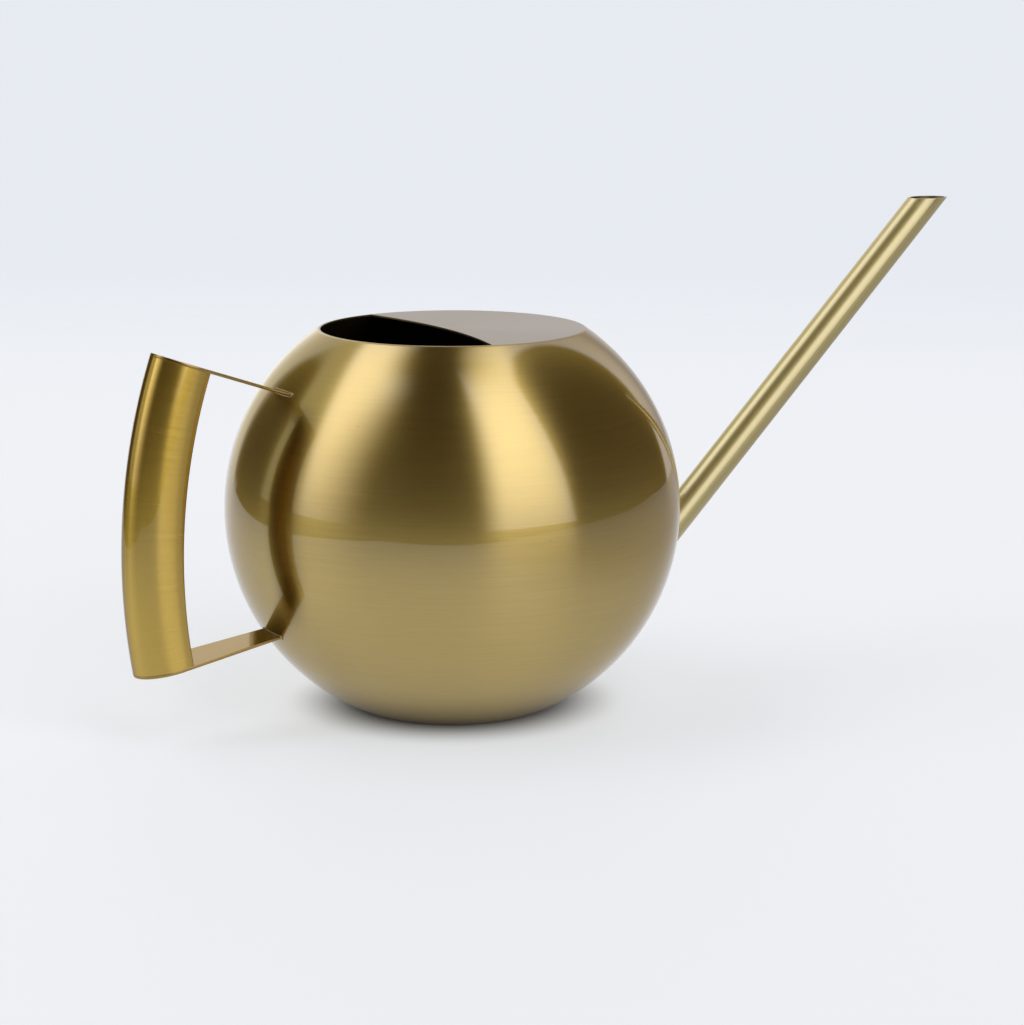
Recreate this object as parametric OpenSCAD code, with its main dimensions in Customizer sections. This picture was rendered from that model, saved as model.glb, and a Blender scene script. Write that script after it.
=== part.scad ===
// Round watering can in brushed brass: two pressed body halves, a straight slanted spout
// and an open channel grip held by two flat straps.
// Millimetres. Origin at the centre of the flat base, +Z up, spout along +X, handle along -X.

/* [Body] */
// Largest diameter of the round body
body_d = 150; // [144:1:156]
// How far the side arc's centre sits off the axis, which flattens the ball slightly
arc_offset = 3; // [2:0.5:4]
// Diameter of the flat base
base_d = 66; // [60:1:70]
// Height of the flat top above the widest level
top_rise = 59.5; // [57:0.5:60]
// Rounding of the fold between side and flat top
fold_r = 2; // [1.5:0.1:2.5]
// Thickness of the body sheet
wall = 0.7; // [0.6:0.1:1]
// Width of the weld that joins the two halves
seam_w = 1.2; // [0.8:0.2:2]

/* [Mouth] */
// Width of the flat lip left around the mouth, inside the fold
mouth_lip = 0.2; // [0.2:0.1:2]
// Distance from the axis to the middle of the cover's edge, towards the handle
edge_x = 2.8; // [1:0.2:10]
// Radius of the cover's slightly bowed edge
edge_r = 170; // [120:5:300]

/* [Spout] */
// Outer diameter of the spout tube
spout_d = 11; // [10:0.5:12]
// Thickness of the spout tube
spout_wall = 0.7; // [0.6:0.1:1]
// Slope of the spout above the horizontal, in degrees
spout_angle = 45.3; // [42:0.1:50]
// Distance from the body axis to the start of the straight run
root_x = 79.5; // [79:0.5:81]
// Height of the start of the straight run above the base
root_z = 44.4; // [42:0.1:47]
// Radius of the bend that turns the spout level into the body
bend_r = 20; // [19:0.5:22]
// Height of the level cut at the tip
tip_z = 158.8; // [120:0.2:180]

/* [Handle] */
// Radius of the grip's long curve, measured to the widest line of its section
grip_r = 192.4; // [190:0.2:195]
// Distance from the body axis to the centre of that curve
arc_x = 88.4; // [87:0.1:90]
// Height of the centre of that curve
arc_z = 56.1; // [54:0.1:58]
// Slope of the upper strap, in degrees
upper_angle = 19.25; // [18:0.05:20]
// Slope of the lower strap, in degrees
lower_angle = -9.5; // [-11:0.05:-9]
// Half width of the channel
grip_half = 9.3; // [8.5:0.1:10]
// Depth of the channel from its widest line to the outer face
grip_nose = 12.2; // [11.5:0.1:13]
// How far the lips run past the widest line
lip_run = 5; // [4:0.1:6]
// Thickness of the channel sheet
grip_wall = 1; // [0.8:0.1:1.2]
// Thickness of the straps
strap_t = 1; // [0.8:0.1:1.2]
// Half width of the straps at the body
strap_half = 6.3; // [5.5:0.1:7]

/* [Welds] */
// Height of the weld fillets
weld_h = 0.8; // [0.5:0.1:1.2]

/* [Hidden] */
$fn = 160;

// Side arc of the body: a circle whose centre is set off the axis
arc_r = body_d / 2 - arc_offset;
// Height of the widest level above the base
mid_z = sqrt(arc_r * arc_r - pow(base_d / 2 - arc_offset, 2));
top_z = mid_z + top_rise;
// Centre of the fold, inside the side arc and under the flat top
fold_z = top_rise - fold_r;
fold_x = arc_offset + sqrt(pow(arc_r - fold_r, 2) - fold_z * fold_z);
fold_dir = atan2(fold_z, fold_x - arc_offset);
// Clear radius of the mouth
mouth_r = fold_x - mouth_lip;

// Length of the spout's straight run, with enough over for the level cut
tip_run = (tip_z - root_z) / sin(spout_angle) + 2 * spout_d;
// Height at which the bend runs level through the body sheet
hole_z = root_z - bend_r * (1 - cos(spout_angle));

// Number of steps along each half of the channel's oval outline
outline_steps = 16;
// Distance from the arc's centre at which a strap meets the body
body_reach = 157;
// The untrimmed strap runs on into the body with the same taper
strap_in = 140;
taper = (grip_half - strap_half) / (grip_r - body_reach);
strap_end_half = strap_half - taper * (body_reach - strap_in);

body_color = [0.66, 0.58, 0.37];
spout_color = [0.74, 0.67, 0.47];
handle_color = [0.64, 0.54, 0.28];
weld_color = [0.72, 0.66, 0.48];

// ---- body ----

// Half section of the solid body, grown outward by g (shrunk when g is negative)
module body_half(g) {
    translate([0, mid_z])
        intersection() {
            translate([arc_offset, 0])
                circle(r = arc_r + g, $fn = 360);
            translate([0, -mid_z - g])
                square([body_d, top_z + 2 * g]);
        }
}

// The sharp corner left outside the fold
module fold_corner() {
    translate([fold_x, mid_z + fold_z])
        difference() {
            polygon([[0, 0], [0, 2 * fold_r], [2 * fold_r, 2 * fold_r],
                     [4 * fold_r * cos(fold_dir), 4 * fold_r * sin(fold_dir)]]);
            circle(r = fold_r, $fn = 120);
        }
}

// Half section of the body sheet
module sheet_half() {
    difference() {
        body_half(0);
        fold_corner();
        body_half(-wall);
    }
}

// The part of the body sheet between two heights
module sheet_ring(z_low, z_high) {
    rotate_extrude($fn = 360)
        intersection() {
            sheet_half();
            translate([0, z_low])
                square([body_d, z_high - z_low]);
        }
}

// The whole body as one solid, grown by g, used to trim what meets it
module body_solid(g) {
    rotate_extrude($fn = 360)
        body_half(g);
}

// Lower half with its flat base and the hole that feeds the spout
module lower_shell() {
    color(body_color)
        difference() {
            sheet_ring(0, mid_z - seam_w / 2);
            spout_run(spout_d / 2, 0);
        }
}

// Upper half, folded over into a flat cover, with the mouth cut out on the handle side
module upper_shell() {
    color(body_color)
        difference() {
            sheet_ring(mid_z + seam_w / 2, top_z);
            intersection() {
                translate([0, 0, top_z - 5])
                    cylinder(r = mouth_r, h = 10, $fn = 240);
                translate([-edge_x - edge_r, 0, top_z - 6])
                    cylinder(r = edge_r, h = 12, $fn = 360);
            }
        }
}

// Weld bead between the halves, ground flush
module body_seam() {
    color(weld_color)
        sheet_ring(mid_z - seam_w / 2, mid_z + seam_w / 2);
}

// ---- spout ----

// Bend and straight run of the spout as a ring of outer radius r and inner radius r_in
module spout_run(r, r_in) {
    translate([root_x, 0, root_z])
        rotate([0, -spout_angle, 0]) {
            translate([0, 0, bend_r])
                mirror([1, 0, 0])
                    rotate([90, 0, 0])
                        rotate([0, 0, -90])
                            rotate_extrude(angle = spout_angle)
                                translate([bend_r, 0])
                                    ring(r, r_in);
            rotate([0, 90, 0])
                linear_extrude(height = tip_run)
                    ring(r, r_in);
        }
}

// Round ring, or a full disc when the inner radius is 0
module ring(r, r_in) {
    difference() {
        circle(r = r);
        if (r_in > 0)
            circle(r = r_in);
    }
}

// Spout tube, bent at the root and cut level at the tip
module spout_tube() {
    color(spout_color)
        difference() {
            spout_run(spout_d / 2, spout_d / 2 - spout_wall);
            translate([root_x, -body_d / 2, tip_z])
                cube([2 * body_d, body_d, body_d]);
        }
}

// Weld collar where the spout leaves the body
module spout_weld() {
    color(weld_color)
        difference() {
            intersection() {
                body_solid(weld_h);
                translate([body_d / 4, 0, hole_z])
                    rotate([0, 90, 0])
                        cylinder(r = spout_d / 2 + 2 * weld_h, h = body_d / 2);
            }
            body_solid(0);
            spout_run(spout_d / 2, 0);
        }
}

// ---- handle ----

// Outline of the oval section, shrunk by g and cut off run past its widest line
module channel_outline(g, run) {
    nose = grip_nose - g;
    half = grip_half - g;
    end = 90 + asin(min(run / nose, 0.9));
    polygon([for (i = [-outline_steps : outline_steps])
             let (a = end * i / outline_steps)
             [grip_r + nose * cos(a), half * sin(a)]]);
}

// Swings a section about the centre of the grip's curve, between the two straps
module grip_sweep() {
    translate([arc_x, 0, arc_z])
        rotate([90, 0, 0])
            rotate([0, 0, 180 - upper_angle])
                rotate_extrude(angle = upper_angle - lower_angle, $fn = 720)
                    children();
}

// Puts a flat piece, drawn along -X, on the radius at the given angle
module on_radius(angle) {
    translate([arc_x, 0, arc_z])
        rotate([0, angle, 0])
            children();
}

// Flat strap with its rounded end under the channel, before it is trimmed to the body
module strap_plate(angle, grow) {
    on_radius(angle)
        translate([0, 0, -strap_t / 2 - grow])
            mirror([1, 0, 0]) {
                linear_extrude(height = strap_t + 2 * grow)
                    channel_outline(0, 0);
                linear_extrude(height = strap_t + 2 * grow)
                    polygon([[grip_r + 2, grip_half - 1], [grip_r + 2, 1 - grip_half],
                             [grip_r, -grip_half - grow], [strap_in, -strap_end_half - grow],
                             [strap_in, strap_end_half + grow], [grip_r, grip_half + grow]]);
            }
}

// Strap trimmed to the body
module strap(angle) {
    color(handle_color)
        difference() {
            strap_plate(angle, 0);
            body_solid(0);
        }
}

module upper_strap() {
    strap(upper_angle);
}

module lower_strap() {
    strap(lower_angle);
}

// Open channel that is held: its hollow side faces the body
module grip_channel() {
    color(handle_color)
        difference() {
            grip_sweep()
                difference() {
                    channel_outline(0, lip_run);
                    channel_outline(grip_wall, lip_run);
                    translate([grip_r - lip_run - grip_nose, -grip_half])
                        square([grip_nose, 2 * grip_half]);
                }
            strap_plate(upper_angle, 0);
            strap_plate(lower_angle, 0);
        }
}

// Weld fillet around a strap where it meets the body
module strap_weld(angle) {
    color(weld_color)
        difference() {
            intersection() {
                body_solid(weld_h);
                strap_plate(angle, weld_h);
            }
            body_solid(0);
            strap_plate(angle, 0);
        }
}

module upper_strap_weld() {
    strap_weld(upper_angle);
}

module lower_strap_weld() {
    strap_weld(lower_angle);
}

// Weld fillet inside the channel, on the strap's inner face; side is 1 above the strap, -1 below
module grip_weld(angle, side) {
    color(weld_color)
        intersection() {
            grip_sweep()
                difference() {
                    channel_outline(grip_wall, 0);
                    channel_outline(grip_wall + weld_h, 2);
                }
            on_radius(angle)
                translate([-2 * grip_r, -grip_half, side > 0 ? strap_t / 2 : -strap_t / 2 - weld_h])
                    cube([2 * grip_r, 2 * grip_half, weld_h]);
        }
}

module grip_weld_upper() {
    grip_weld(upper_angle, -1);
}

module grip_weld_lower() {
    grip_weld(lower_angle, 1);
}

lower_shell();
upper_shell();
body_seam();
spout_tube();
spout_weld();
grip_channel();
upper_strap();
lower_strap();
upper_strap_weld();
lower_strap_weld();
grip_weld_upper();
grip_weld_lower();
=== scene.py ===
import math

import bmesh
import bpy
import numpy as np
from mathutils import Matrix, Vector


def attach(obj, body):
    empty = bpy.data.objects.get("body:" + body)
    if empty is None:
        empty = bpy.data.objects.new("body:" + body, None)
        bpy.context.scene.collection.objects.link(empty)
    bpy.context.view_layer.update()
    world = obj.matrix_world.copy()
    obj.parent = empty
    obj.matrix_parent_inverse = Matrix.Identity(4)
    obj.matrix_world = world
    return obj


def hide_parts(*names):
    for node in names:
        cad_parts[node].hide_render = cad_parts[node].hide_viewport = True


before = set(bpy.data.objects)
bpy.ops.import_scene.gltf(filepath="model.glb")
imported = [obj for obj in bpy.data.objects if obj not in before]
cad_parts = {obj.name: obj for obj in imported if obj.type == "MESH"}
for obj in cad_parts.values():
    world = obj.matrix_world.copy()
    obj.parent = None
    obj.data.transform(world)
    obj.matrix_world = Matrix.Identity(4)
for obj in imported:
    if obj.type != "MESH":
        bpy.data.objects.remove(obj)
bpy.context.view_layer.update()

# ---- sizes, in millimetres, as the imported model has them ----
MM = 0.001
# Body: an arc turned about Z. Its centre lies ARC_OFF off the axis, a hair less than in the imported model,
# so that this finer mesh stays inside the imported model's facets.
ARC_OFF = 2.994
ARC_R = 72.0
BASE_R = 33.0
WALL = 0.7
MID_Z = math.sqrt(ARC_R**2 - (BASE_R - ARC_OFF) ** 2)
TOP_Z = MID_Z + 59.5
FOOT_R = 1.5
FOLD_R = 2.0
FOLD_Z = TOP_Z - FOLD_R
FOLD_X = ARC_OFF + math.sqrt((ARC_R - FOLD_R) ** 2 - (FOLD_Z - MID_Z) ** 2)
SEAM = 0.6
# Mouth: inside MOUTH_R, and left of a bowed edge of radius EDGE_R that crosses the X axis at -EDGE_X
MOUTH_R = FOLD_X - 0.2
EDGE_X = 2.8
EDGE_R = 170.0
EDGE_ROUND = 0.12
# Spout: a straight tube from ROOT, with a bend behind it that turns level into the body
TUBE_R = 5.5
TUBE_IN = 4.8
SLOPE = math.radians(45.3)
ROOT = np.array([79.5, 0.0, 44.4])
BEND_R = 20.0
TIP_Z = 158.8
# Handle: a channel bent round (ARC_X, ARC_Z) between two radial straps
GRIP_R = 192.4
ARC_X = 88.4
ARC_Z = 56.1
UPPER = math.radians(19.25)
LOWER = math.radians(-9.5)
HALF = 9.3
NOSE = 12.198
LIP = 5.0
GRIP_WALL = 1.0
NOSE_IN = NOSE - GRIP_WALL
HALF_IN = HALF - GRIP_WALL
STRAP_THICK = 1.0
STRAP_HALF = 6.3
STRAP_R = 157.0
# Weld beads
STRAP_BEAD = 0.42
GRIP_BEAD = 0.5
SPOUT_BEAD = 0.75
# Sweeps: the spout's cut edge is eased by TIP_ROUND, and CAP_STRETCH spreads the brushing on flat caps
TIP_ROUND = 0.04
CAP_STRETCH = 0.3


# ---- mesh helpers ----
def piece(name, points, faces, node, materials, normals=None, uv=None, index=None):
    """Makes a mesh piece that stands for a CAD node. normals and uv hold one entry per face corner, and
    index holds each face's place in materials."""
    mesh = bpy.data.meshes.new(name)
    mesh.from_pydata([tuple(p * MM for p in v) for v in points], [], [tuple(f) for f in faces])
    mesh.validate()
    obj = bpy.data.objects.new(name, mesh)
    bpy.context.scene.collection.objects.link(obj)
    mesh.polygons.foreach_set("use_smooth", [True] * len(mesh.polygons))
    for material in materials:
        mesh.materials.append(material)
    if index is not None:
        mesh.polygons.foreach_set("material_index", index)
    if uv is not None:
        layer = mesh.uv_layers.new(name="along")
        layer.data.foreach_set("uv", np.array(uv, np.float32).ravel())
    if normals is not None:
        mesh.normals_split_custom_set([tuple(n) for n in normals])
    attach(obj, "root")
    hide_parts(node)
    return obj


def turn_outward(obj, sharp):
    """Turns the faces outward, and marks edges sharper than an angle in degrees."""
    bm = bmesh.new()
    bm.from_mesh(obj.data)
    bmesh.ops.recalc_face_normals(bm, faces=bm.faces)
    bm.to_mesh(obj.data)
    bm.free()
    obj.data.set_sharp_from_angle(angle=math.radians(sharp))


def unit(v):
    v = np.array(v, float)
    return v / np.linalg.norm(v)


def arc(cx, cz, r, a0, a1, n, side=1):
    """Profile points (x, z, nx, nz) on a circle, from angle a0 to a1."""
    return [
        (cx + r * math.cos(a), cz + r * math.sin(a), side * math.cos(a), side * math.sin(a))
        for a in np.linspace(a0, a1, n)
    ]


def line(x0, z0, x1, z1, n, nx, nz):
    """Profile points (x, z, nx, nz) on a straight run."""
    return [(x0 + (x1 - x0) * t, z0 + (z1 - z0) * t, nx, nz) for t in np.linspace(0, 1, n)]


class Shell:
    """Collects vertices, faces and a normal for each face corner."""

    def __init__(self):
        self.points = []
        self.faces = []
        self.normals = []
        self.index = []

    def vertex(self, p):
        self.points.append(tuple(float(c) for c in p))
        return len(self.points) - 1

    def face(self, corners, normals, index=0):
        """Adds a face, turned so that it looks the way its normals point."""
        p = [np.array(self.points[c]) for c in corners]
        way = np.cross(p[1] - p[0], p[-1] - p[0]) + np.cross(p[2] - p[1], p[0] - p[1])
        if way @ np.mean(np.array(normals, float), 0) < 0:
            corners, normals = corners[::-1], normals[::-1]
        self.faces.append(corners)
        self.normals.extend(tuple(float(c) for c in n) for n in normals)
        self.index.append(index)

    def make(self, name, node):
        piece(name, self.points, self.faces, node, BODY_MATS, self.normals, None, self.index)


def spin(n, angle):
    """A profile's normal, turned about Z."""
    return (n[0] * math.cos(angle), n[0] * math.sin(angle), n[1])


def turned(shell, segments, angles, skip=None, index=0):
    """Turns profile segments about Z at the given angles. Returns the vertex table [profile][column].
    skip(k, j) leaves a face out. A profile point on the axis becomes one vertex."""
    flat = list(segments[0])
    for segment in segments[1:]:
        flat += segment[1:]
    table = []
    for x, z, _, _ in flat:
        if x < 1e-6:
            v = shell.vertex((0, 0, z))
            table.append([v] * len(angles))
        else:
            table.append([shell.vertex((x * math.cos(a), x * math.sin(a), z)) for a in angles])
    k = 0
    n = len(angles)
    for segment in segments:
        for i in range(len(segment) - 1):
            n0, n1 = segment[i][2:], segment[i + 1][2:]
            for j in range(n):
                jn = (j + 1) % n
                if skip and skip(k, j):
                    continue
                a0, a1 = angles[j], angles[jn]
                q = [table[k][j], table[k][jn], table[k + 1][jn], table[k + 1][j]]
                m = [spin(n0, a0), spin(n0, a1), spin(n1, a1), spin(n1, a0)]
                keep = [c for c in range(4) if q[c] != q[c - 1]]
                shell.face([q[c] for c in keep], [m[c] for c in keep], index)
            k += 1
    return table


def flat_ring(shell, row_a, row_b, nz):
    """A level ring of faces between two rows of vertices."""
    for j in range(len(row_a)):
        n = (j + 1) % len(row_a)
        shell.face([row_a[j], row_a[n], row_b[n], row_b[j]], [(0, 0, nz)] * 4)


# ---- materials ----
class Graph:
    """Small helper that adds nodes and links them."""

    def __init__(self, tree):
        self.tree = tree

    def add(self, kind, **settings):
        node = self.tree.nodes.new(kind)
        inputs = settings.pop("inputs", {})
        for key, value in settings.items():
            setattr(node, key, value)
        for key, value in inputs.items():
            self.put(node.inputs[key], value)
        return node

    def put(self, socket, value):
        if isinstance(value, bpy.types.NodeSocket):
            self.tree.links.new(value, socket)
        else:
            socket.default_value = value

    def math(self, operation, a, b=0.0):
        node = self.add("ShaderNodeMath", operation=operation)
        self.put(node.inputs[0], a)
        self.put(node.inputs[1], b)
        return node.outputs[0]

    def smooth(self, value, low, high, start=0.0, end=1.0):
        """start below low, end above high, and a smooth change between them."""
        if not isinstance(low, bpy.types.NodeSocket) and low > high:
            low, high, start, end = high, low, end, start
        node = self.add("ShaderNodeMapRange", interpolation_type="SMOOTHSTEP")
        values = {"Value": value, "From Min": low, "From Max": high, "To Min": start, "To Max": end}
        for key, v in values.items():
            self.put(node.inputs[key], v)
        return node.outputs["Result"]

    def noise(self, vector, scale, detail, rough):
        node = self.add("ShaderNodeTexNoise")
        self.put(node.inputs["Vector"], vector)
        node.inputs["Scale"].default_value = scale
        node.inputs["Detail"].default_value = detail
        node.inputs["Roughness"].default_value = rough
        return node.outputs["Fac"]

    def stretch(self, vector, scale):
        node = self.add("ShaderNodeMapping")
        self.put(node.inputs["Vector"], vector)
        node.inputs["Scale"].default_value = scale
        return node.outputs[0]

    def mix(self, factor, a, b, blend="MIX"):
        node = self.add("ShaderNodeMix", data_type="RGBA", blend_type=blend)
        self.put(node.inputs[0], factor)
        self.put(node.inputs[6], a)
        self.put(node.inputs[7], b)
        return node.outputs[2]


def scaled(colour, factors):
    """A colour with each channel multiplied, as an opaque RGBA value."""
    return tuple(min(1.0, c * f) for c, f in zip(colour, factors)) + (1.0,)


SPECK_SCALE = 190.0  # specks a metre
SPECK_SHARE = 0.12
PATCH_SCALE = 26.0
BROAD = 0.23  # how fine the broad streaks are, against the fine ones
BUMP_HEIGHT = 0.000012


def brass(name, colour, rough, around, grain, lengthwise=False, aniso=0.9, coat=1.0, depth=1.0,
          edge=(0.78, 0.70, 0.58), ior=1.6, streaks=0.06):
    """Brushed brass under clear lacquer.
    around is 'axis' when the brushing circles the body's axis, or 'uv' when it follows the piece's own u
    direction. grain holds how fine the brushing is along x, y and z of its coordinates. lengthwise brushing
    runs across that direction. depth and streaks scale its height and its change of colour."""
    mat = bpy.data.materials.new(name)
    mat.use_nodes = True
    g = Graph(mat.node_tree)
    shader = mat.node_tree.nodes["Principled BSDF"]
    body = g.add("ShaderNodeTexCoord").outputs["Object"]
    if around == "axis":
        tangent = g.add("ShaderNodeTangent", direction_type="RADIAL", axis="Z").outputs[0]
        place = body
    else:
        tangent = g.add("ShaderNodeTangent", direction_type="UV_MAP", uv_map="along").outputs[0]
        place = g.add("ShaderNodeUVMap", uv_map="along").outputs[0]

    fine = g.noise(g.stretch(place, grain), 1.0, 3.0, 0.62)
    broad = g.noise(g.stretch(place, tuple(c * BROAD for c in grain)), 1.0, 2.0, 0.5)
    streak = g.math("ADD", g.math("MULTIPLY", fine, 0.65), g.math("MULTIPLY", broad, 0.35))
    patch = g.noise(body, PATCH_SCALE, 3.0, 0.55)
    speck = g.add("ShaderNodeTexVoronoi", feature="F1", inputs={"Vector": body, "Scale": SPECK_SCALE})
    chance = g.add("ShaderNodeSeparateColor", inputs={"Color": speck.outputs["Color"]}).outputs[0]
    dots = g.math("MULTIPLY", g.smooth(speck.outputs["Distance"], 0.035, 0.06, 1.0, 0.0),
                  g.math("GREATER_THAN", chance, 1 - SPECK_SHARE))

    dull, bright = (scaled(colour, [share] * 3) for share in (1 - streaks, 1 + streaks))
    base = g.mix(g.smooth(streak, 0.3, 0.7), dull, bright)
    base = g.mix(g.smooth(patch, 0.35, 0.75, 0.0, 0.22), base, scaled(colour, (0.9, 0.86, 0.78)))
    base = g.mix(g.math("MULTIPLY", dots, 0.45), base, scaled(colour, [0.35] * 3))
    g.put(shader.inputs["Base Color"], base)
    shader.inputs["Metallic"].default_value = 1.0
    by_streak = g.smooth(streak, 0.3, 0.7, rough - 0.015, rough + 0.015)
    g.put(shader.inputs["Roughness"], g.math("ADD", by_streak, g.math("MULTIPLY", patch, 0.02)))
    shader.inputs["Anisotropic"].default_value = aniso
    shader.inputs["Anisotropic Rotation"].default_value = 0.0 if lengthwise else 0.25
    g.put(shader.inputs["Tangent"], tangent)
    shader.inputs["Specular Tint"].default_value = edge + (1.0,)
    shader.inputs["Coat Weight"].default_value = coat
    shader.inputs["Coat Roughness"].default_value = 0.03
    shader.inputs["Coat IOR"].default_value = ior
    height = g.math("ADD", streak, g.math("MULTIPLY", dots, -0.3))
    relief = {"Strength": 0.35, "Distance": BUMP_HEIGHT * depth, "Height": height}
    bump = g.add("ShaderNodeBump", inputs=relief)
    g.put(shader.inputs["Normal"], bump.outputs["Normal"])
    return mat


body_mat = brass("brushed_brass_body", (0.445, 0.323, 0.094), 0.285, "axis", (75.0, 75.0, 5600.0),
                 depth=0.2, edge=(0.56, 0.47, 0.33), streaks=0.055)
# partly painted sheen: the cover is the same sheet as the upper half, but a greyer colour and a near-white
# edge tint paint its lighter grey sheen; its flatter, less directed brushing is its own
cover_mat = brass("brushed_brass_cover_painted_sheen", (0.38, 0.31, 0.19), 0.34, "axis", (420.0, 420.0, 420.0),
                  aniso=0.5, coat=0.8, depth=0.3, edge=(0.74, 0.73, 0.74), ior=1.5)
# painted shade: the inside of the body and the spout gets a brass colour about a third as bright as the
# outside's, for the shade in the closed body; it is also left plain, without lacquer
inside_mat = brass("plain_brass_inside_painted_shade", (0.16, 0.115, 0.05), 0.5, "axis", (60.0, 60.0, 900.0),
                   aniso=0.3, coat=0.0, streaks=0.1)
spout_mat = brass("brushed_brass_spout", (0.465, 0.39, 0.16), 0.36, "uv", (5200.0, 60.0, 1.0),
                  lengthwise=True, aniso=0.5, depth=0.15, ior=1.8)
# painted shade: the grip's edge tint is darker than its colour, so its sides darken where they turn away
# from view, standing for the dark brown shade along its edges
grip_mat = brass("brushed_brass_grip_painted_edge_shade", (0.50, 0.34, 0.06), 0.25, "uv", (60.0, 2400.0, 1.0),
                 aniso=0.85, depth=0.12, edge=(0.22, 0.13, 0.04), ior=1.45, streaks=0.045)
# painted shade: the straps' brass gets a darker colour than the grip's, standing for the shade on the straps
strap_mat = brass("brushed_brass_strap_painted_shade", (0.33, 0.21, 0.045), 0.22, "uv", (60.0, 2400.0, 1.0),
                  aniso=0.7, depth=0.12, edge=(0.58, 0.47, 0.30), ior=1.45, streaks=0.045)
weld_mat = brass("ground_weld_brass", (0.34, 0.25, 0.10), 0.42, "axis", (700.0, 700.0, 700.0),
                 aniso=0.2, depth=6.0)
# places in this list: the outside, the inside and the cover
BODY_MATS = [body_mat, inside_mat, cover_mat]
OUTSIDE, INSIDE, COVER = 0, 1, 2

# ---- body ----
# the bowed edge's centre is (edge_cx, 0), and it meets the mouth's rim at the angles +-corner_angle
edge_cx = -(EDGE_X + EDGE_R)
corner_x = (EDGE_R**2 - MOUTH_R**2 - edge_cx**2) / (-2 * edge_cx)
corner_angle = math.acos(corner_x / MOUTH_R)
# mesh columns: one a degree, and three close ones at each corner of the mouth
CLEAR, CLOSE = 0.004, 0.0025
even = {round(a, 6) for a in np.radians(np.arange(-180, 180, 1.0)) if abs(abs(a) - corner_angle) > CLEAR}
corner_columns = {round(s * (corner_angle + d), 6) for s in (-1, 1) for d in (-CLOSE, 0.0, CLOSE)}
COLS = np.array(sorted(even | corner_columns))


def lat(z, r=ARC_R):
    """Angle of the side arc of radius r at height z."""
    return math.asin((z - MID_Z) / r)


def tube_frame(along):
    """Point, direction and upward normal of the spout's axis at a distance along it. The straight run starts
    at zero, and the bend lies before it."""
    u = np.array([math.cos(SLOPE), 0.0, math.sin(SLOPE)])
    n = np.array([-math.sin(SLOPE), 0.0, math.cos(SLOPE)])
    if along >= 0:
        return ROOT + along * u, u, n
    a = min(-along / BEND_R, SLOPE)
    p = ROOT - BEND_R * math.sin(a) * u + BEND_R * (1 - math.cos(a)) * n
    return p, math.cos(a) * u - math.sin(a) * n, math.sin(a) * u + math.cos(a) * n


def tube_point(along, around, r):
    """Point at radius r from the spout's axis. around is zero on the upper side."""
    p, _, n = tube_frame(along)
    return p + r * (math.cos(around) * n + math.sin(around) * np.array([0.0, 1.0, 0.0]))


def body_gap(p, r=ARC_R):
    """How far a point lies outside the body's side."""
    return math.hypot(math.hypot(p[0], p[1]) - ARC_OFF, p[2] - MID_Z) - r


def body_normal(p):
    rho = math.hypot(p[0], p[1])
    return unit([(rho - ARC_OFF) * p[0] / rho, (rho - ARC_OFF) * p[1] / rho, p[2] - MID_Z])


def meets_body(path, low, high, r=ARC_R):
    """The value between low and high at which path(value) crosses the body's surface."""
    inside = body_gap(path(low), r) < 0
    for _ in range(50):
        mid = (low + high) / 2
        if (body_gap(path(mid), r) < 0) == inside:
            low = mid
        else:
            high = mid
    return (low + high) / 2


# the spout meets the body between these distances along it, at all points round the tube
ROOT_SEARCH = (-18, 2)
HOLE_HALF_ANGLE = math.radians(7)
HOLE_HIGH, HOLE_LOW = 47.0, 30.5
HOLE_GAP = 0.02


def nearest(values, wanted):
    return int(np.argmin([abs(v - wanted) for v in values]))


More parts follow.
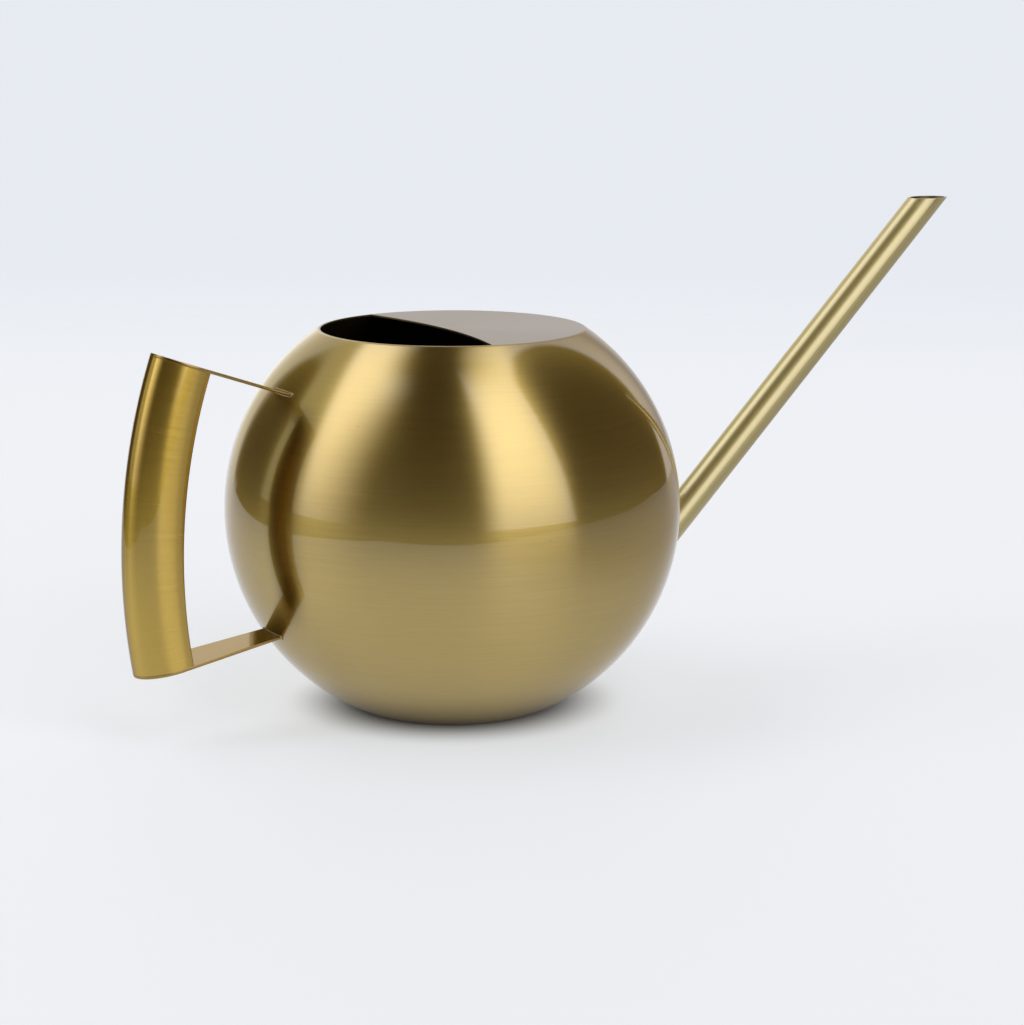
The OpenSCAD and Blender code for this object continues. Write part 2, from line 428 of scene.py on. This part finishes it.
def lower_shell():
    """Lower half, with a patch of finer mesh round the spout's hole."""
    shell = Shell()
    foot_x = ARC_OFF + math.sqrt((ARC_R - FOOT_R) ** 2 - (MID_Z - FOOT_R) ** 2)
    foot_a = math.atan2(FOOT_R - MID_Z, foot_x - ARC_OFF)
    foot_z = MID_Z + ARC_R * math.sin(foot_a)
    top = MID_Z - SEAM
    a0, a1 = lat(top), lat(foot_z)
    side_n = int(math.degrees(a0 - a1)) + 1
    outer = arc(ARC_OFF, MID_Z, ARC_R, a0, a1, side_n)
    foot = arc(foot_x, FOOT_R, FOOT_R, foot_a, -math.pi / 2, 6)
    flat_n = 8
    base = line(foot_x, 0, 0, 0, flat_n, 0, -1)
    r_in = ARC_R - WALL
    in_x = ARC_OFF + math.sqrt(r_in**2 - (MID_Z - WALL) ** 2)
    floor_in = line(0, WALL, in_x, WALL, flat_n, 0, 1)
    inner = arc(ARC_OFF, MID_Z, r_in, lat(WALL, r_in), lat(top, r_in), side_n, -1)
    # window around the spout's hole, by column and by outer row
    lo_j, hi_j = nearest(COLS, -HOLE_HALF_ANGLE), nearest(COLS, HOLE_HALF_ANGLE)
    heights = [p[1] for p in outer]
    lo_k, hi_k = nearest(heights, HOLE_HIGH), nearest(heights, HOLE_LOW)
    in_lo = flat_n - 1 + nearest([p[1] for p in inner], heights[hi_k])
    in_hi = in_lo + (hi_k - lo_k)

    def in_window(k, j, k0, k1):
        return k0 <= k < k1 and lo_j <= j < hi_j

    out_table = turned(shell, [outer, foot, base], COLS, lambda k, j: in_window(k, j, lo_k, hi_k))
    in_table = turned(shell, [floor_in, inner], COLS, lambda k, j: in_window(k, j, in_lo, in_hi), INSIDE)
    flat_ring(shell, in_table[-1], out_table[0], 1)

    def window_loop(table, k0, k1):
        """The window's outline, from row k0 to row k1 and back."""
        js = list(range(lo_j, hi_j + 1))
        step = 1 if k1 > k0 else -1
        loop = [table[k0][j] for j in js] + [table[k][hi_j] for k in range(k0 + step, k1 + step, step)]
        loop += [table[k1][j] for j in reversed(js[:-1])]
        loop += [table[k][lo_j] for k in range(k1 - step, k0, -step)]
        return loop[::-1]

    hole_r = TUBE_R + HOLE_GAP
    centre_out = tube_frame(meets_body(lambda t: tube_frame(t)[0], -14, 2))[0]

    def patch(loop, r, sign, index):
        """Rings of faces from the window's outline to the hole. Returns the ring at the hole."""
        rings = [loop]
        hole = []
        for v in loop:
            p = np.array(shell.points[v])
            around = math.atan2(p[1] - centre_out[1], p[2] - centre_out[2])
            t = meets_body(lambda s: tube_point(s, around, hole_r), *ROOT_SEARCH, r)
            hole.append(tube_point(t, around, hole_r))
        steps = 5
        for s in range(1, steps + 1):
            f = 1 - (1 - s / steps) ** 1.3
            ring = []
            for v, h in zip(loop, hole):
                p = np.array(shell.points[v]) * (1 - f) + h * f
                if s < steps:  # put it back on the surface
                    rho = math.hypot(p[0], p[1])
                    d = unit([rho - ARC_OFF, p[2] - MID_Z])
                    spread = (ARC_OFF + r * d[0]) / rho
                    p = np.array([p[0] * spread, p[1] * spread, MID_Z + r * d[1]])
                ring.append(shell.vertex(p))
            rings.append(ring)
        for a, b in zip(rings, rings[1:]):
            for i in range(len(loop)):
                n = (i + 1) % len(loop)
                q = [a[i], a[n], b[n], b[i]]
                shell.face(q, [sign * body_normal(shell.points[c]) for c in q], index)
        return rings[-1]

    out_ring = patch(window_loop(out_table, lo_k, hi_k), ARC_R, 1, OUTSIDE)
    in_ring = patch(window_loop(in_table, in_hi, in_lo), r_in, -1, INSIDE)
    c = tube_frame(-8)[0]
    for i in range(len(out_ring)):  # the hole's wall
        n = (i + 1) % len(out_ring)
        q = [out_ring[i], out_ring[n], in_ring[n], in_ring[i]]
        shell.face(q, [unit([0, c[1] - shell.points[v][1], c[2] - shell.points[v][2]]) for v in q], INSIDE)
    shell.make("body_lower_half", "lower_shell")


def upper_shell():
    """Upper half, its top folded over into the cover that leaves the mouth open."""
    shell = Shell()
    low = MID_Z + SEAM
    fold_dir = math.atan2(FOLD_Z - MID_Z, FOLD_X - ARC_OFF)
    r_in = ARC_R - WALL
    side_n = 56
    rim_x = MOUTH_R + EDGE_ROUND
    lip = line(rim_x, TOP_Z, FOLD_X, TOP_Z, 2, 0, 1)
    fold = arc(FOLD_X, FOLD_Z, FOLD_R, math.pi / 2, fold_dir, 10)
    outer = arc(ARC_OFF, MID_Z, ARC_R, fold_dir, lat(low), side_n)
    inner = arc(ARC_OFF, MID_Z, r_in, lat(low, r_in), fold_dir, side_n, -1)
    fold_in = arc(FOLD_X, FOLD_Z, FOLD_R - WALL, fold_dir, math.pi / 2, 8, -1)
    lip_in = line(FOLD_X, TOP_Z - WALL, rim_x, TOP_Z - WALL, 2, 0, -1)
    top = turned(shell, [lip, fold, outer], COLS)
    bottom = turned(shell, [inner, fold_in, lip_in], COLS, index=INSIDE)
    flat_ring(shell, top[-1], bottom[0], -1)
    rim_top, rim_low = top[0], bottom[-1]
    corners = [nearest(COLS, s * corner_angle) for s in (-1, 1)]
    # the cut edge's quarter round: how far in from the edge, how far down, and its normal's two parts
    turns = []
    for t in np.radians([30, 60, 90]):
        s, c = math.sin(t), math.cos(t)
        turns.append((EDGE_ROUND * (1 - s), EDGE_ROUND * (1 - c), s, c))
    corner_dirs = {}
    for c in corners:  # at a corner, the way into the sheet is between the two edges' ways
        n1 = np.array([math.cos(COLS[c]), math.sin(COLS[c])])
        e = np.array([MOUTH_R * n1[0] - edge_cx, MOUTH_R * n1[1]])
        n2 = e / np.linalg.norm(e)
        corner_dirs[c] = (n1 + n2) / (1 + n1 @ n2)
    strips = {}

    def strip(foot, out, above, below):
        """Vertices from the top rim over the cut edge to the lower rim. out points into the sheet."""
        rows = [(above, (0, 0, 1))]
        for way, half in ((1, turns), (-1, turns[::-1])):
            face_z = TOP_Z if way > 0 else TOP_Z - WALL
            for off, drop, s, c in half:
                x, y = foot[0] + out[0] * off, foot[1] + out[1] * off
                rows.append((shell.vertex((x, y, face_z - way * drop)), (-out[0] * s, -out[1] * s, way * c)))
        rows.append((below, (0, 0, -1)))
        return rows

    def join(a, b):
        for (v0, n0), (v1, n1), (w0, m0), (w1, m1) in zip(a, a[1:], b, b[1:]):
            shell.face([v0, w0, w1, v1], [n0, m0, m1, n1], COVER)

    for j, angle in enumerate(COLS):  # mouth side, and its two corners
        if abs(angle) >= corner_angle - 1e-5:
            n1 = np.array([math.cos(angle), math.sin(angle)])
            strips[j] = strip(MOUTH_R * n1, corner_dirs.get(j, n1), rim_top[j], rim_low[j])
    order = list(range(corners[1], len(COLS))) + list(range(0, corners[0] + 1))
    for a, c in zip(order, order[1:]):
        join(strips[c], strips[a])
    # the cover, from the rim to its bowed edge
    rows = 12
    prev = None
    corner_y = MOUTH_R * math.sin(corner_angle)
    for j in range(corners[0], corners[1] + 1):
        angle = COLS[j]
        s = angle / corner_angle
        if j in corners:
            cur = (None, strips[j], None)
        else:
            y = corner_y * (0.5 * s + 0.5 * math.sin(s * math.pi / 2))
            e = np.array([edge_cx + math.sqrt(EDGE_R**2 - y * y), y])
            out = unit([e[0] - edge_cx, e[1]])
            p = rim_x * np.array([math.cos(angle), math.sin(angle)])
            stop = e + out * EDGE_ROUND
            run = [p + (stop - p) * t for t in np.linspace(0, 1, rows + 1)[1:]]
            above = [rim_top[j]] + [shell.vertex((*q, TOP_Z)) for q in run]
            below = [rim_low[j]] + [shell.vertex((*q, TOP_Z - WALL)) for q in run]
            cur = (above, strip(e, out, above[-1], below[-1]), below)
        if prev is not None:
            join(prev[1], cur[1])
            for side, nz, index in ((0, 1, COVER), (2, -1, INSIDE)):
                a, c = prev[side], cur[side]
                end = 0 if side == 0 else -1
                for i in range(rows):
                    if a is None:  # a fan from the corner's own vertex
                        q = [prev[1][end][0], c[i], c[i + 1]]
                    elif c is None:
                        q = [a[i], cur[1][end][0], a[i + 1]]
                    else:
                        q = [a[i], c[i], c[i + 1], a[i + 1]]
                    shell.face(q, [(0, 0, nz)] * len(q), index)
        prev = cur
    shell.make("body_upper_half", "upper_shell")


def body_seam():
    """The weld ring between the halves, ground flush."""
    shell = Shell()
    r_in = ARC_R - WALL
    outer = arc(ARC_OFF, MID_Z, ARC_R, lat(MID_Z + SEAM), lat(MID_Z - SEAM), 5)
    inner = arc(ARC_OFF, MID_Z, r_in, lat(MID_Z - SEAM, r_in), lat(MID_Z + SEAM, r_in), 5, -1)
    out_t = turned(shell, [outer], COLS)
    in_t = turned(shell, [inner], COLS, index=INSIDE)
    flat_ring(shell, in_t[-1], out_t[0], 1)
    flat_ring(shell, out_t[-1], in_t[0], -1)
    shell.make("body_seam_ring", "body_seam")


lower_shell()
upper_shell()
body_seam()


# ---- loops swept along a path: the spout, the grip and the weld beads ----
def band_faces(n, m, count):
    """Faces that join count neighbours among n rows of m points, going round to the first row."""
    faces = []
    for i in range(count):
        k = (i + 1) % n
        for j in range(m):
            q = (j + 1) % m
            faces.append([i * m + j, i * m + q, k * m + q, k * m + j])
    return faces


def lengths(points):
    """Distance along a run of points."""
    return np.concatenate([[0], np.cumsum(np.linalg.norm(np.diff(points, axis=0), axis=1))])


def band_uv(around, along, count):
    """UVs in metres for band_faces: u goes round a row, and v along the rows."""
    uv = []
    for i in range(count):
        step = along[i + 1] if i + 1 < len(along) else along[i] + 1
        for u0, u1 in zip(around, around[1:]):
            corners = ((u0, along[i]), (u1, along[i]), (u1, step), (u0, step))
            uv += [(a * MM, b * MM) for a, b in corners]
    return uv


def sweep(name, rows, node, material, closed_path=False, sharp=40):
    """rows is a list of loops of points, all the same length. Makes a tube with flat caps, or a torus."""
    n, m = len(rows), len(rows[0])
    count = n if closed_path else n - 1
    faces = band_faces(n, m, count)
    along = lengths([np.mean(row, 0) for row in rows])
    around = lengths([*rows[0], rows[0][0]])
    uv = band_uv(around, along, count)
    if not closed_path:
        for cap in (list(range(m))[::-1], [(n - 1) * m + j for j in range(m)]):
            faces.append(cap)
            uv += [(around[v % m] * CAP_STRETCH * MM, 0.0) for v in cap]
    turn_outward(piece(name, np.concatenate(rows), faces, node, [material], None, uv), sharp)


def tube_shell(name, stations, r_out, r_in, end_along, node, materials):
    """Hollow tube: outer wall out to the tip, over the cut, and back along the inner wall."""
    m = 96
    turns = np.linspace(0, 2 * math.pi, m, endpoint=False)
    near_tip = (0.4, 0.08, 0.03)
    rows = [[tube_point(s, a, r_out) for a in turns] for s in stations]
    rows += [[tube_point(end_along(a, r_out) - d, a, r_out) for a in turns] for d in near_tip]
    for r in (r_out - TIP_ROUND, r_in + TIP_ROUND):
        rows.append([tube_point(end_along(a, r), a, r) for a in turns])
    rows += [[tube_point(end_along(a, r_in) - d, a, r_in) for a in turns] for d in reversed(near_tip)]
    rows += [[tube_point(s, a, r_in) for a in turns] for s in reversed(stations)]
    n = len(rows)
    faces = band_faces(n, m, n)
    around = 2 * math.pi * r_out * np.linspace(0, 1, m + 1)
    uv = band_uv(around, lengths([np.mean(row, 0) for row in rows]), n)
    index = [1 if i > n // 2 else 0 for i in range(n) for _ in range(m)]
    turn_outward(piece(name, np.concatenate(rows), faces, node, materials, None, uv, index), 35)


def tip_along(around, r):
    """How far along the spout its level cut lies."""
    return (TIP_Z - ROOT[2] - r * math.cos(around) * math.cos(SLOPE)) / math.sin(SLOPE)


bend = list(-BEND_R * np.linspace(SLOPE, 0, 19))
run = list(np.linspace(0, tip_along(0, TUBE_R) - 4, 30)[1:])
tube_shell("spout", bend + run, TUBE_R, TUBE_IN, tip_along,
           "spout_tube", [spout_mat, inside_mat])


def swing(r, angle, y):
    """A point at radius r and angle about the centre of the grip's curve."""
    return (ARC_X - r * math.cos(angle), y, ARC_Z + r * math.sin(angle))


def channel_section():
    """Closed outline of the open channel as (radius, y), with round lips."""
    end = math.pi / 2 + math.asin(LIP / NOSE)
    end_in = math.pi / 2 + math.asin(LIP / NOSE_IN)
    outer = [(GRIP_R + NOSE * math.cos(a), HALF * math.sin(a)) for a in np.linspace(-end, end, 73)[1:-1]]
    inner_angles = np.linspace(end_in, -end_in, 65)[1:-1]
    inner = [(GRIP_R + NOSE_IN * math.cos(a), HALF_IN * math.sin(a)) for a in inner_angles]

    def lip(p, q):
        """A round edge from p to q that bulges towards the body."""
        p, q = np.array(p), np.array(q)
        mid, half = (p + q) / 2, (q - p) / 2
        depth = np.array([-0.8 * np.linalg.norm(half), 0])
        turns = np.radians([25, 50, 75, 105, 130, 155])
        return [tuple(mid - half * math.cos(t) + depth * math.sin(t)) for t in turns]

    outline = outer + lip(outer[-1], inner[0]) + inner + lip(inner[-1], outer[0])
    return [(max(r, GRIP_R - LIP), y) for r, y in outline]


def channel_row(section, t):
    """The section at a share t of the way up. It stops at the straps' faces."""
    row = []
    for r, y in section:
        cut = math.asin(STRAP_THICK / 2 / r)
        row.append(swing(r, LOWER + cut + t * (UPPER - LOWER - 2 * cut), y))
    return row


grip_section = channel_section()
grip_rows = [channel_row(grip_section, t) for t in np.linspace(0, 1, 60)]
sweep("grip", grip_rows, "grip_channel", grip_mat, sharp=32)


def strap_axes(angle):
    """Origin, direction towards the grip, and upward normal of a strap."""
    u = np.array([-math.cos(angle), 0, math.sin(angle)])
    n = np.array([math.sin(angle), 0, math.cos(angle)])
    return np.array([ARC_X, 0, ARC_Z]), u, n


STRAP_SEARCH = (140, 175)  # radii between which a strap's line meets the body


def strap(name, angle, node):
    """Flat strap with an oval end, cut to the body's surface."""
    c, u, n = strap_axes(angle)
    taper = (HALF - STRAP_HALF) / (GRIP_R - STRAP_R)
    across = [math.sin(a) for a in np.radians(np.linspace(-90, 90, 41))]
    m, steps = len(across), 60
    half, ease = STRAP_THICK / 2, 0.14
    bevel = 0.29 * ease
    sunk = 0.06

    def width(r):
        return HALF if r > GRIP_R else HALF - taper * (GRIP_R - r)

    def grid(side, inset):
        """Points of one face at height side, with its outline drawn in by inset."""
        out = []
        for v in across:
            on_line = lambda r: c + u * r + n * side + np.array([0, v * width(r), 0])
            start = meets_body(on_line, *STRAP_SEARCH) - sunk
            end = GRIP_R + (NOSE - inset) * math.sqrt(max(0.0, 1 - v * v))
            run = start + np.linspace(0, 1, steps) * (end - start)
            out.append([c + u * r + n * side + np.array([0, v * (width(r) - inset), 0]) for r in run])
        return out

    def rim(g):
        """The outline of a grid, once round."""
        loop = [g[0][t] for t in range(steps)]
        loop += [g[v][steps - 1] for v in range(1, m)]
        loop += [g[m - 1][t] for t in range(steps - 2, -1, -1)]
        loop += [g[v][0] for v in range(m - 2, 0, -1)]
        return loop

    heights = [(half, ease), (half - bevel, bevel), (half - ease, 0)]
    layers = [grid(*h) for h in heights] + [grid(-side, inset) for side, inset in reversed(heights)]
    points, faces, tables = [], [], []
    for g in (layers[0], layers[-1]):
        tables.append([[len(points) + v * steps + t for t in range(steps)] for v in range(m)])
        points += [tuple(p) for row in g for p in row]
    loops = [rim(tables[0])]
    for g in layers[1:-1]:
        loops.append([len(points) + i for i in range(len(loops[0]))])
        points += [tuple(p) for p in rim(g)]
    loops.append(rim(tables[1]))
    for table in tables:
        for a, b in zip(table, table[1:]):
            faces += [[a[t], a[t + 1], b[t + 1], b[t]] for t in range(steps - 1)]
    for a, b in zip(loops, loops[1:]):
        for i in range(len(a)):
            k = (i + 1) % len(a)
            faces.append([a[i], a[k], b[k], b[i]])
    uv = [(points[v][1] * MM, float((np.array(points[v]) - c) @ u) * MM) for f in faces for v in f]
    turn_outward(piece(name, points, faces, node, [strap_mat], None, uv), 50)


strap("upper_strap_plate", UPPER, "upper_strap")
strap("lower_strap_plate", LOWER, "lower_strap")


def bead(name, loop, size, node, closed=True):
    """A weld bead: a small round section that follows a loop of (point, side, up), with slight ripples."""
    rows = []
    turns = np.linspace(0, 2 * math.pi, 12, endpoint=False)
    for i, (p, side, up) in enumerate(loop):
        r = size * (1 + 0.07 * math.sin(i * 1.3) + 0.05 * math.sin(i * 0.37 + 1))
        rows.append([p + r * (math.cos(t) * side + math.sin(t) * up) for t in turns])
    sweep(name, rows, node, weld_mat, closed_path=closed, sharp=60)


def strap_bead(name, angle, node):
    """Bead round a strap where it meets the body."""
    c, u, n = strap_axes(angle)
    w, h = STRAP_HALF, STRAP_THICK / 2
    corners = [(-w, h), (w, h), (w, -h), (-w, -h), (-w, h)]
    outline = []
    for (y0, s0), (y1, s1), count in zip(corners, corners[1:], (40, 4, 40, 4)):
        outline += [(y0 + (y1 - y0) * i / count, s0 + (s1 - s0) * i / count) for i in range(count)]
    loop = []
    for y, s in outline:
        at = n * s + np.array([0, y, 0])
        p = c + u * meets_body(lambda q: c + u * q + at, *STRAP_SEARCH) + at
        loop.append((p, body_normal(p), unit(n * s / h + np.array([0, y / w, 0]))))
    bead(name, loop, STRAP_BEAD, node)


strap_bead("upper_strap_weld_bead", UPPER, "upper_strap_weld")
strap_bead("lower_strap_weld_bead", LOWER, "lower_strap_weld")


def grip_bead(name, angle, side, node):
    """Bead along the channel's inner wall where it sits on the strap."""
    up = side * strap_axes(angle)[2]
    short = 0.06  # it stops this far before the lips, in radians
    end = math.pi / 2 + math.asin(LIP / NOSE_IN) - short
    loop = []
    for a in np.linspace(-end, end, 60):
        r, y = GRIP_R + NOSE_IN * math.cos(a), HALF_IN * math.sin(a)
        p = np.array(swing(r, angle + side * math.asin(STRAP_THICK / 2 / r), y))
        inward = unit(np.array(swing(GRIP_R, angle, 0)) - np.array(swing(r, angle, y)))
        loop.append((p, inward, up))
    bead(name, loop, GRIP_BEAD, node, closed=False)


grip_bead("grip_weld_bead_upper", UPPER, -1, "grip_weld_upper")
grip_bead("grip_weld_bead_lower", LOWER, 1, "grip_weld_lower")


def spout_bead():
    """Bead round the spout's root."""
    loop = []
    for around in np.linspace(0, 2 * math.pi, 96, endpoint=False):
        t = meets_body(lambda s: tube_point(s, around, TUBE_R), *ROOT_SEARCH)
        p = tube_point(t, around, TUBE_R)
        middle, ahead, _ = tube_frame(t)
        loop.append((p, ahead, unit(p - middle)))
    bead("spout_weld_bead", loop, SPOUT_BEAD, "spout_weld")


spout_bead()

# ---- stage: pale floor, soft studio light ----
AZ = math.radians(-28.175)  # the camera's side, from -Y
RIGHT = Vector((math.cos(AZ), math.sin(AZ), 0))
FRONT = Vector((math.sin(AZ), -math.cos(AZ), 0))
FLOOR_R = 2.5
FLOOR_COLOUR = (0.375, 0.39, 0.425, 1)
# painted light: the table's glow, which lifts its shadows
FLOOR_PAINTED_GLOW = (0.955, 0.98, 1.0, 1)
ROOM_COLOUR = (0.12, 0.098, 0.062, 1)
DIM_COLOUR = (0.50, 0.48, 0.46, 1)


def bare_material(name):
    """A node material without a shader, and its graph."""
    mat = bpy.data.materials.new(name)
    mat.use_nodes = True
    mat.node_tree.nodes.remove(mat.node_tree.nodes["Principled BSDF"])
    return mat, Graph(mat.node_tree)


def blend_in(g, share, below, above):
    """Shader that changes from below to above as share goes from 0 to 1."""
    blend = g.add("ShaderNodeMixShader")
    for socket, value in zip(blend.inputs, (share, below, above)):
        g.put(socket, value)
    return blend.outputs[0]


def make_floor():
    """Pale table that fades out with distance. It glows a little, as painted light that lifts its shadows,
    but not under the can, which leaves a painted contact shadow there.
    """
    mat, g = bare_material("stage_floor")
    away = g.add("ShaderNodeVectorMath", operation="LENGTH")
    g.put(away.inputs[0], g.add("ShaderNodeTexCoord").outputs["Object"])
    away = away.outputs["Value"]
    look = {"Base Color": FLOOR_COLOUR, "Emission Color": FLOOR_PAINTED_GLOW}
    look |= {"Roughness": 0.6, "Specular IOR Level": 0.2}
    shader = g.add("ShaderNodeBsdfPrincipled", inputs=look)
    # painted light and shade: the glow starts 30 mm from the can's axis and is full from 58 mm, so the can's
    # real contact shadow is deepened with painted shade
    g.put(shader.inputs["Emission Strength"], g.smooth(away, 0.030, 0.058, 0.0, 0.56))
    clear = g.add("ShaderNodeBsdfTransparent").outputs[0]
    surface = blend_in(g, g.smooth(away, 0.35, 1.5), shader.outputs[0], clear)
    g.put(mat.node_tree.nodes["Material Output"].inputs[0], surface)
    bpy.ops.mesh.primitive_circle_add(vertices=128, radius=FLOOR_R, fill_type="NGON", location=(0, 0, 0))
    floor = bpy.context.object
    floor.name = "floor"
    floor.data.materials.append(mat)


def unseen_plane(name, mat_name, colour, corners, height, fade=None):
    """A flat shape on the table that shows in the metal only. corners are (right, front) places.
    With fade, it comes in between two places to the right, up to a share."""
    mat, g = bare_material(mat_name)
    surface = g.add("ShaderNodeEmission", inputs={"Color": colour, "Strength": 1.0}).outputs[0]
    if fade:
        start, end, share = fade
        reach = g.add("ShaderNodeVectorMath", operation="DOT_PRODUCT")
        g.put(reach.inputs[0], g.add("ShaderNodeTexCoord").outputs["Object"])
        reach.inputs[1].default_value = tuple(RIGHT)
        clear = g.add("ShaderNodeBsdfTransparent").outputs[0]
        surface = blend_in(g, g.smooth(reach.outputs["Value"], start, end, 0.0, share), clear, surface)
    g.put(mat.node_tree.nodes["Material Output"].inputs[0], surface)
    mesh = bpy.data.meshes.new(name)
    points = [tuple(RIGHT * a + FRONT * b + Vector((0, 0, height))) for a, b in corners]
    mesh.from_pydata(points, [], [list(range(len(points)))])
    mesh.materials.append(mat)
    obj = bpy.data.objects.new(name, mesh)
    bpy.context.scene.collection.objects.link(obj)
    obj.visible_camera = False
    obj.visible_diffuse = False
    obj.visible_shadow = False
    obj.visible_transmission = False


make_floor()
# beyond the table's front and left edges lies a dark room
room = [(-6, -6), (-0.56, -0.56), (-0.46, 0.3), (-0.38, 0.60), (0.05, 0.60), (0.5, 0.72), (0.9, 0.80)]
room += [(1.7, 0.30), (3.0, -0.4), (6, -0.4), (6, 6), (-6, 6)]
unseen_plane("room_floor", "stage_room", ROOM_COLOUR, room, 0.0005)
# the table's right side lies in dimmer light
right_side = [(0.04, -0.8), (1.6, -0.8), (1.6, 0.9), (0.04, 0.9)]
unseen_plane("dim_table", "stage_dim", DIM_COLOUR, right_side, 0.0003, fade=(0.05, 0.26, 0.85))

# ---- world: what the metal reflects, by azimuth and elevation in degrees ----
# Azimuth 0 is towards the camera, and grows to its right.
LEFT_LIGHT, RIGHT_LIGHT = 2.3, 2.45
BLUER = 1.06
SEEN_LOW, SEEN_HIGH = (0.80, 0.83, 0.885, 1), (0.785, 0.82, 0.88, 1)
DARK_LOW, DARK_HIGH = (0.125, 0.10, 0.06, 1), (0.08, 0.06, 0.03, 1)
GREY_RIM = (0.66, 0.64, 0.48, 1)

world = bpy.data.worlds.new("studio")
bpy.context.scene.world = world
world.use_nodes = True
w = Graph(world.node_tree)
direction = w.add("ShaderNodeTexCoord").outputs["Generated"]


def dot(axis):
    node = w.add("ShaderNodeVectorMath", operation="DOT_PRODUCT")
    w.put(node.inputs[0], direction)
    node.inputs[1].default_value = tuple(axis)
    return node.outputs["Value"]


def product(*values):
    out = values[0]
    for v in values[1:]:
        out = w.math("MULTIPLY", out, v)
    return out


az = w.math("MULTIPLY", w.math("ARCTAN2", dot(RIGHT), dot(FRONT)), 180 / math.pi)
height = w.math("MAXIMUM", w.math("MINIMUM", dot((0, 0, 1)), 1.0), -1.0)
el = w.math("MULTIPLY", w.math("ARCSINE", height), 180 / math.pi)


def oval(az_mid, el_mid, az_half, el_half, power, soft):
    """1 outside a rounded shape in azimuth and elevation, 0 inside."""
    parts = []
    for value, mid, half in ((az, az_mid, az_half), (el, el_mid, el_half)):
        share = w.math("ABSOLUTE", w.math("DIVIDE", w.math("SUBTRACT", value, mid), half))
        parts.append(w.math("POWER", share, power))
    r = w.math("POWER", w.math("ADD", *parts), 1.0 / power)
    return w.smooth(r, 1 - soft, 1 + soft)


# each softbox is cut by a dark rounded panel
left_panel = oval(-128, 6, 46, 44, 2.4, 0.08)
right_panel = oval(102, 21, 40.5, 46, 2.8, 0.05)
left_box = product(
    w.smooth(az, -41, -84),
    w.smooth(az, -160, -135),
    w.smooth(el, 76, 62),
    w.smooth(el, -25, 45, 0.36, 1.0),
    left_panel,
)
right_box = product(
    w.smooth(az, 12, 28),
    w.smooth(az, 175, 125, 0.0, 1.0),
    w.smooth(el, 90, 68),
    w.smooth(el, -25, 50, 0.55, 1.0),
    right_panel,
    w.smooth(az, 100, 30, 0.75, 1.0),
)
lights = w.math("ADD", w.math("MULTIPLY", left_box, LEFT_LIGHT), w.math("MULTIPLY", right_box, RIGHT_LIGHT))

# the backdrop, brightest straight behind
behind = w.math("MAXIMUM", w.smooth(az, 139, 143), w.smooth(az, -141, -147))
straight_behind = w.smooth(w.math("ABSOLUTE", az), 155, 172, 0.30, 0.56)
lights = w.math("MAXIMUM", lights, product(behind, w.smooth(el, 62, 45), straight_behind))

# the left panel's rim is grey, and its middle is as dark as the room
middle = oval(-129, 10, 19, 26, 2.2, 0.12)
rim = product(w.math("SUBTRACT", 1.0, left_panel), middle, w.smooth(el, -20, -5))
dark = w.mix(rim, w.mix(w.smooth(el, -5, 60), DARK_LOW, DARK_HIGH), GREY_RIM)
shine = {"Red": lights, "Green": lights, "Blue": w.math("MULTIPLY", lights, BLUER)}
lit = w.mix(1.0, dark, w.add("ShaderNodeCombineColor", inputs=shine).outputs[0], "ADD")
seen = w.mix(w.smooth(el, -4, 14), SEEN_LOW, SEEN_HIGH)
from_camera = w.add("ShaderNodeLightPath").outputs["Is Camera Ray"]
w.put(world.node_tree.nodes["Background"].inputs["Color"], w.mix(from_camera, lit, seen))

# ---- camera ----
cam_data = bpy.data.cameras.new("camera")
cam_data.lens = 97.8
cam_data.sensor_width = 36
cam_data.clip_start = 0.01
cam_data.clip_end = 50
cam = bpy.data.objects.new("camera", cam_data)
bpy.context.scene.collection.objects.link(cam)
cam.location = (-0.42554, -0.79445, 0.24828)
cam.rotation_euler = (math.radians(90 - 11.5975), 0, math.radians(-29.425))
bpy.context.scene.camera = cam
bpy.context.scene.view_settings.view_transform = "Standard"
